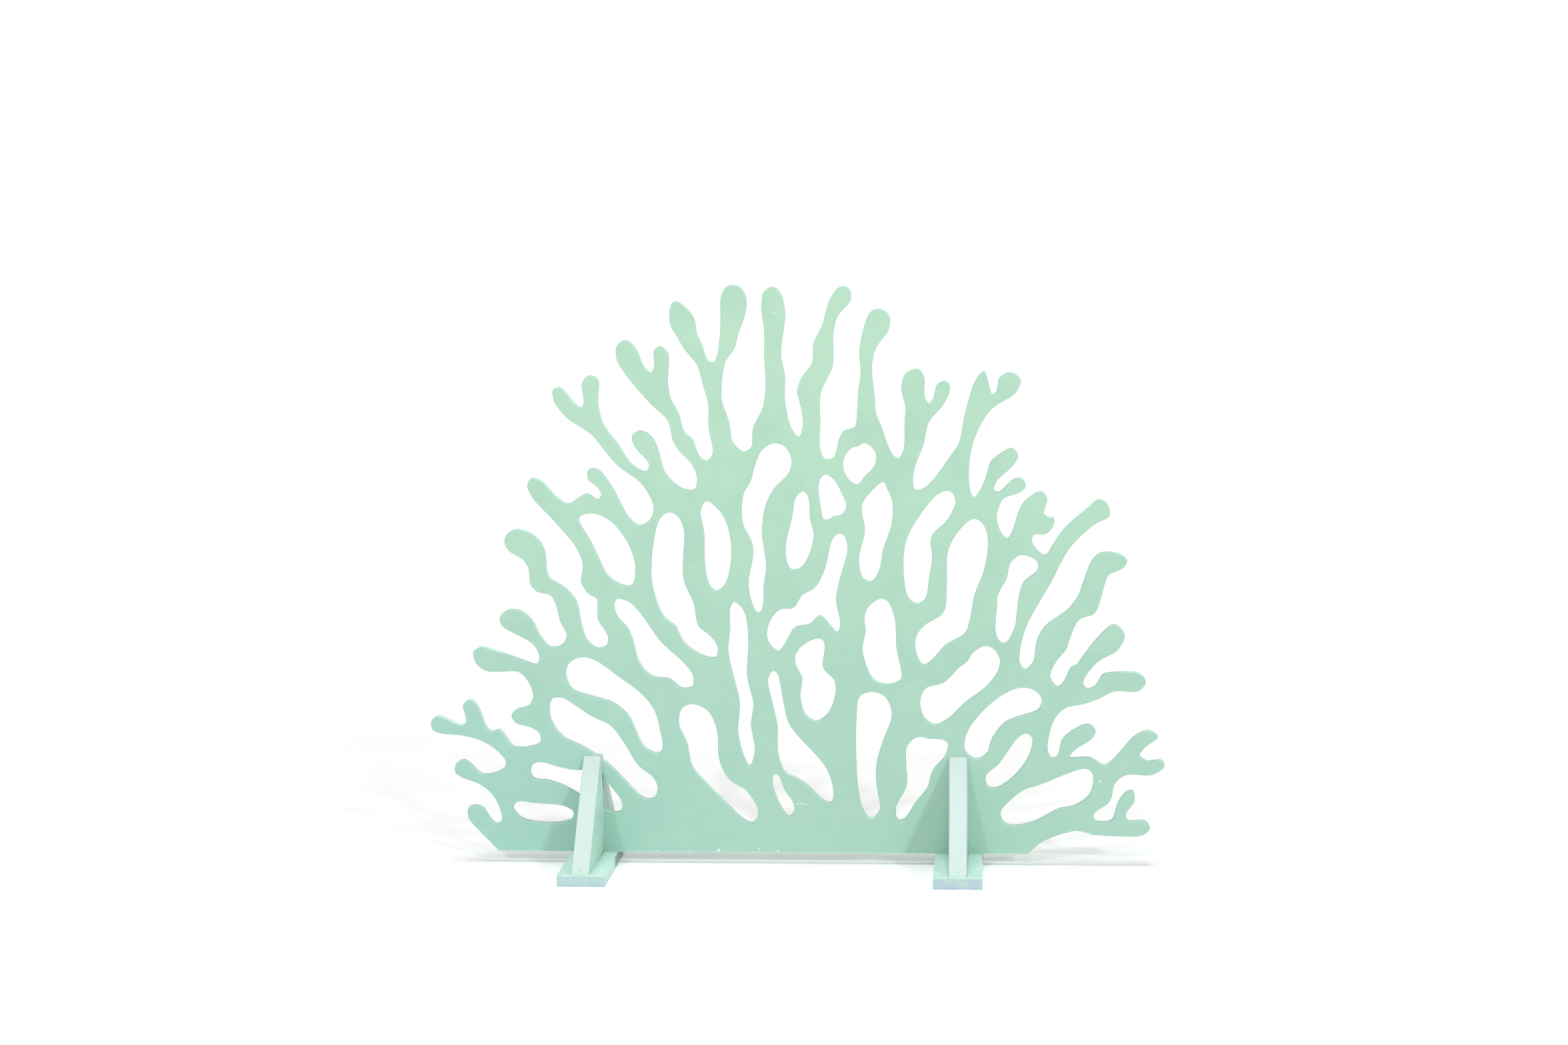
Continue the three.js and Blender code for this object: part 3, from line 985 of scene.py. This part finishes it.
@dataclass
class Foot:
    """One foot: its base plate, its two braces and the paint-filled joints round them.

    Attributes:
        side: which foot it is.
        easing: how far the timber's edges are rounded.
        fillet: how far the filler reaches out of each joint.
        fillet_steps: how many facets its hollow front has.
    """

    side: Side
    easing: float = 1.5 * MM
    fillet: float = 1.8 * MM
    fillet_steps: int = 4

    @property
    def plate_node(self) -> str:
        """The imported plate's name."""
        return f"foot_plate_{self.side.value}"

    def brace_node(self, face: Face) -> str:
        """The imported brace's name."""
        return f"{face.name.lower()}_gusset_{self.side.value}"

    def build_plate(self, finish: bpy.types.Material) -> bpy.types.Object:
        """Makes the base plate with its edges eased, but for those on the floor.

        Args:
            finish: its material.

        Returns:
            The piece.
        """
        low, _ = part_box(self.plate_node)
        mesh = copy_solid(self.plate_node)
        on_floor = low.z + TOUCHING
        ease_edges(mesh, lambda edge: all(v.co.z < on_floor for v in edge.verts), self.easing)
        piece = keep_mesh(f"base_plate_{self.side.value}", mesh, finish)
        return place_piece(piece, Slot.PLATE, self.plate_node)

    def build_brace(self, face: Face, finish: bpy.types.Material) -> bpy.types.Object:
        """Makes one triangular brace with its edges eased, but for those on the plate.

        Args:
            face: the face of the board that it stands against.
            finish: its material.

        Returns:
            The piece.
        """
        node = self.brace_node(face)
        low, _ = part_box(node)
        mesh = copy_solid(node)
        on_plate = low.z + TOUCHING
        ease_edges(mesh, lambda edge: all(v.co.z < on_plate for v in edge.verts), self.easing)
        piece = keep_mesh(f"{face.name.lower()}_brace_{self.side.value}", mesh, finish)
        return place_piece(piece, Slot.BRACE, node)

    def bead(self, mesh: bmesh.types.BMesh, start: Vector, end: Vector, across: Vector, up: Vector) -> None:
        """Adds one bead of filler with a hollow front along a joint.

        Args:
            mesh: where it goes.
            start: the joint's first end, in the corner.
            end: its other end.
            across: the way out of the corner along one timber.
            up: the way out along the other.
        """
        section = [Vector((0, 0))]
        for step in range(self.fillet_steps + 1):
            angle = math.pi / 2 * step / self.fillet_steps
            section.append(Vector((1 - math.sin(angle), 1 - math.cos(angle))) * self.fillet)
        ends = [[mesh.verts.new(p + across * s.x + up * s.y) for s in section] for p in (start, end)]
        for i in range(len(section)):
            j = (i + 1) % len(section)
            strip = mesh.faces.new((ends[0][i], ends[0][j], ends[1][j], ends[1][i]))
            strip.smooth = 0 < i < len(section) - 1
        mesh.faces.new(ends[0][::-1])
        mesh.faces.new(ends[1])

    def build_filler(self, face: Face, finish: bpy.types.Material) -> bpy.types.Object:
        """Fills the joints of one brace with the plate and the board, and its toe, as paint does.

        Args:
            face: the face of the board that the brace stands against.
            finish: the filler's material.

        Returns:
            The piece.
        """
        low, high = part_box(self.brace_node(face))
        out = Vector((0, face.value, 0))
        board_side, toe = (high.y, low.y) if face is Face.FRONT else (low.y, high.y)
        mesh = bmesh.new()
        toe_end = toe - face.value * self.easing
        for x, way in ((low.x, Vector((-1, 0, 0))), (high.x, Vector((1, 0, 0)))):
            start, end = Vector((x, board_side, low.z)), Vector((x, toe_end, low.z))
            self.bead(mesh, start, end, way, Vector((0, 0, 1)))
            head = Vector((x, board_side, high.z - 2 * self.easing))
            self.bead(mesh, start, head, way, out)
        corners = [(toe, low.z), (toe, low.z - self.easing), (toe_end, low.z)]
        wedge = [[mesh.verts.new((x, y, z)) for y, z in corners] for x in (low.x, high.x)]
        for i in range(3):
            j = (i + 1) % 3
            mesh.faces.new((wedge[0][i], wedge[0][j], wedge[1][j], wedge[1][i]))
        mesh.faces.new(wedge[0][::-1])
        mesh.faces.new(wedge[1])
        bmesh.ops.recalc_face_normals(mesh, faces=mesh.faces)
        piece = keep_mesh(f"{face.name.lower()}_filler_{self.side.value}", mesh, finish)
        return place_piece(piece, Slot.BRACE)

    def toe_crack(self) -> Vector:
        """Where the small crack in the paint is, low on the front brace's slope."""
        low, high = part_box(self.brace_node(Face.FRONT))
        return Vector(((low.x + high.x) / 2, low.y + 4 * MM, low.z + 11 * MM))


# ---------------------------------------------------------------- the studio


@dataclass(frozen=True)
class SoftBox:
    """One big soft box, so far off that its light is even all over the set.

    Attributes:
        name: what it is called.
        way: the way from the set to it, in X, Y and Z.
        spread: how wide it looks from the set.
        power: its light on a surface that faces it, in watts for each square metre.
    """

    name: str
    way: tuple[float, float, float]
    spread: float
    power: float


@dataclass
class Studio:
    """The pale floor, the soft light and the camera.

    Attributes:
        floor_half: half the floor's width.
        sky: brightness of the surround overhead.
        horizon: its brightness low down.
        band: between which heights of view it changes, as sines of the angle above the floor.
        lights: the soft boxes.
        camera_place: where the camera stands.
        yaw: how far it is turned to the left.
        pitch: how far it is tilted up.
        roll: how far it is rolled about the way it looks.
        lens: its focal length in millimetres.
        sensor: the width of its sensor in millimetres.
    """

    floor_half: float = 400.0
    sky: float = 0.345
    horizon: float = 1.01
    band: tuple[float, float] = (0.13, 0.32)
    lights: tuple[SoftBox, ...] = (
        SoftBox("soft_box_right", (0.86, -1.0, 0.7), math.radians(5.5), 0.93),
        SoftBox("soft_box_left", (-0.42, -1.0, 0.86), math.radians(4.5), 0.62),
        SoftBox("soft_box_front", (0.1, -1.0, 0.6), math.radians(14), 0.27),
        SoftBox("soft_box_top", (0.0, -0.04, 1.0), math.radians(18), 1.6),
    )
    camera_place: tuple[float, float, float] = (0.4148, -4.7368, 1.3326)
    yaw: float = math.radians(5.14)
    pitch: float = math.radians(-7.35)
    roll: float = math.radians(1.015)
    lens: float = 53.57
    sensor: float = 36.0

    def build_floor(self, finish: bpy.types.Material) -> None:
        """Lays a wide floor under the feet.

        Args:
            finish: the floor's material.
        """
        mesh = bmesh.new()
        half = self.floor_half
        corners = [(-half, -half), (half, -half), (half, half), (-half, half)]
        mesh.faces.new([mesh.verts.new((x, y, 0.0)) for x, y in corners])
        keep_mesh("studio_floor", mesh, finish)

    def build_light(self) -> None:
        """Sets a surround that is white low down and dimmer above, and hangs the soft boxes."""
        world = bpy.data.worlds.new("white_surround")
        world.use_nodes = True
        tree = world.node_tree
        tree.nodes.clear()
        way = add(tree, "TexCoord", {}, "Generated")
        rise = add(tree, "SeparateXYZ", {"Vector": way}, "Z")
        band = {"From Min": self.band[0], "From Max": self.band[1]}
        level = add(tree, "MapRange", {"Value": rise, **band, "To Min": self.horizon, "To Max": self.sky})
        glow = add(tree, "Background", {"Color": (1.0, 1.0, 1.0, 1.0), "Strength": level})
        add(tree, "OutputWorld", {"Surface": glow})
        bpy.context.scene.world = world
        for box in self.lights:
            data = bpy.data.lights.new(box.name, "SUN")
            data.energy, data.angle = box.power, box.spread
            hung = bpy.data.objects.new(box.name, data)
            hung.location = Vector(box.way) * LIGHT_DISTANCE
            hung.rotation_euler = Vector(box.way).to_track_quat("Z", "Y").to_euler()
            bpy.context.scene.collection.objects.link(hung)

    def build_camera(self) -> None:
        """Stands the camera in front, a little to the right and a little above the board's top."""
        data = bpy.data.cameras.new("camera")
        data.lens, data.sensor_width = self.lens, self.sensor
        camera = bpy.data.objects.new("camera", data)
        turn = Matrix.Rotation(self.yaw, 4, "Z") @ Matrix.Rotation(self.pitch, 4, "X")
        turn = turn @ Matrix.Rotation(self.roll, 4, "Y") @ Matrix.Rotation(math.pi / 2, 4, "X")
        camera.matrix_world = Matrix.Translation(self.camera_place) @ turn
        bpy.context.scene.collection.objects.link(camera)
        bpy.context.scene.camera = camera

    def build(self) -> None:
        """Builds the camera, the floor and the light, and shows colours as they are."""
        self.build_camera()
        self.build_floor(StudioFloor().build())
        self.build_light()
        bpy.context.scene.view_settings.view_transform = "Standard"
        log.info("studio: floor, %d soft boxes and camera", len(self.lights))


SCUFFING = {Side.LEFT: 0.25, Side.RIGHT: 0.85}  # how worn each plate's ends are


def main() -> None:
    """Builds the studio, the board and both feet in order."""
    logging.basicConfig(level=logging.INFO, format="%(name)s: %(message)s")
    Studio().build()

    board = Board()
    specks = (
        Speck(-0.024, 1.150, 2.2 * MM),
        Speck(0.632, 0.179, 3.2 * MM),
        Speck(0.176, 1.176, 1.6 * MM),
        Speck(0.655, 0.075, 1.4 * MM),
        Speck(-0.290, 0.026, 1.8 * MM, 0.9),
        Speck(-0.220, 0.026, 2.2 * MM, 0.9),
        Speck(-0.160, 0.029, 3.0 * MM, 0.9),
        Speck(-0.075, 0.033, 1.8 * MM, 0.9),
        Speck(-0.035, 0.028, 2.0 * MM, 0.9),
    )
    scratches = (Scratch(0.015, 0.106, 24 * MM, 0.9 * MM, 15 * MM),)
    faces = RolledEnamel(specks=specks, scratches=scratches).build(board.low, board.high)
    board.build(faces, SealedEdge().build())

    feet = [Foot(side) for side in Side]
    brace_finish = BrushedEnamel(cracks=tuple(foot.toe_crack() for foot in feet)).build()
    for foot in feet:
        plate_finish = ScuffedEnamel(SCUFFING[foot.side]).build(foot.side, *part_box(foot.plate_node))
        foot.build_plate(plate_finish)
        for face in Face:
            foot.build_brace(face, brace_finish)
            foot.build_filler(face, brace_finish)


if __name__ == "__main__":
    main()
